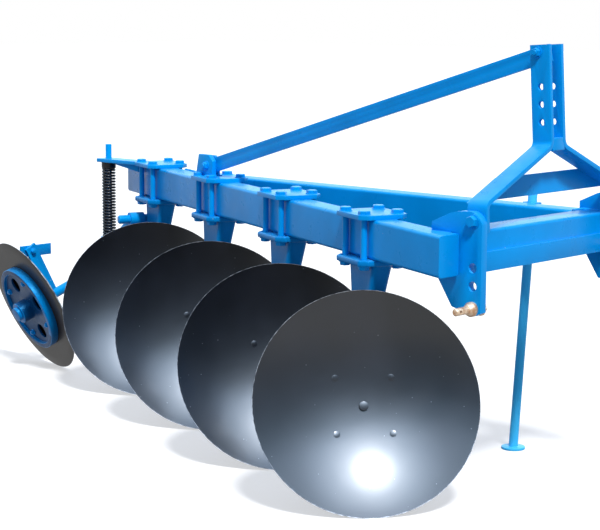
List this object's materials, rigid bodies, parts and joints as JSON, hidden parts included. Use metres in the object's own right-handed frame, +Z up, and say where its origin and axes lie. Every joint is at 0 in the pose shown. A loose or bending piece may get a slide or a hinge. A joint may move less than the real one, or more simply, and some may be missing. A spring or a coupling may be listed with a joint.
{
  "type": "four-furrow mounted disc plough",
  "caption": "Mounted disc plough: tilted dished discs on cast standards under a skew beam, with a three-point hitch mast, back stay, sprung furrow wheel and a parking stand.",
  "frame": {"origin": "on the ground under the middle of the plough's outer box", "axes": "+Y is the way it is pulled, +X its right-hand side, +Z up"},
  "size_m": [1.2485, 2.834, 1.3291],
  "materials": {
    "blue_enamel": "gloss",
    "black_lacquer": "gloss",
    "bare_steel": "satin",
    "dark_spring": "semi-gloss"
  },
  "bodies": {
    "frame": {"main_beam": "blue_enamel", "side_beam": "blue_enamel", "cross_beam": "blue_enamel", "hitch_plate_right": "blue_enamel", "hitch_plate_left": "blue_enamel", "hitch_pin_right": "bare_steel", "hitch_pin_left": "bare_steel", "mast_leg_right": "blue_enamel", "mast_leg_left": "blue_enamel", "mast_brace": "blue_enamel", "fork_web": "blue_enamel", "back_stay": "blue_enamel", "stay_lug": "blue_enamel", "mast_bolts": "blue_enamel", "clamp_plate_1": "blue_enamel", "clamp_bolts_1": "blue_enamel", "standard_1": "blue_enamel", "clamp_plate_2": "blue_enamel", "clamp_bolts_2": "blue_enamel", "standard_2": "blue_enamel", "clamp_plate_3": "blue_enamel", "clamp_bolts_3": "blue_enamel", "standard_3": "blue_enamel", "clamp_plate_4": "blue_enamel", "clamp_bolts_4": "blue_enamel", "standard_4": "blue_enamel", "wheel_axle": "blue_enamel", "wheel_arm": "blue_enamel", "pivot_bar": "blue_enamel", "scraper_blade": "blue_enamel", "spring": "dark_spring", "spring_rod": "blue_enamel", "stand_sleeve": "blue_enamel"},
    "disc_1_unit": {"disc_1": "black_lacquer", "disc_hub_1": "blue_enamel"},
    "disc_2_unit": {"disc_2": "black_lacquer", "disc_hub_2": "blue_enamel"},
    "disc_3_unit": {"disc_3": "black_lacquer", "disc_hub_3": "blue_enamel"},
    "disc_4_unit": {"disc_4": "black_lacquer", "disc_hub_4": "blue_enamel"},
    "furrow_wheel_unit": {"furrow_wheel": "blue_enamel", "furrow_disc": "black_lacquer"},
    "stand": {"stand_leg": "blue_enamel"}
  },
  "joints": [
    {"name": "disc_1_spin", "type": "hinge", "parent": "frame", "child": "disc_1_unit", "pos_m": [0.366, 1.0788, 0.3089], "axis": [0.6276, 0.6945, 0.3518], "continuous": true},
    {"name": "disc_2_spin", "type": "hinge", "parent": "frame", "child": "disc_2_unit", "pos_m": [0.14647, 0.54087, 0.3089], "axis": [0.6276, 0.6945, 0.3518], "continuous": true},
    {"name": "disc_3_spin", "type": "hinge", "parent": "frame", "child": "disc_3_unit", "pos_m": [-0.07305, 0.00294, 0.3089], "axis": [0.6276, 0.6945, 0.3518], "continuous": true},
    {"name": "disc_4_spin", "type": "hinge", "parent": "frame", "child": "disc_4_unit", "pos_m": [-0.29258, -0.53499, 0.3089], "axis": [0.6276, 0.6945, 0.3518], "continuous": true},
    {"name": "furrow_wheel_spin", "type": "hinge", "parent": "frame", "child": "furrow_wheel_unit", "pos_m": [-0.226, -1.1482, 0.25314], "axis": [0.8969, -0.2071, -0.3907], "continuous": true},
    {"name": "stand_slide", "type": "slide", "parent": "frame", "child": "stand", "axis": [0, 0.0645, 0.9979], "range_m": [0, 0.5]}
  ]
}
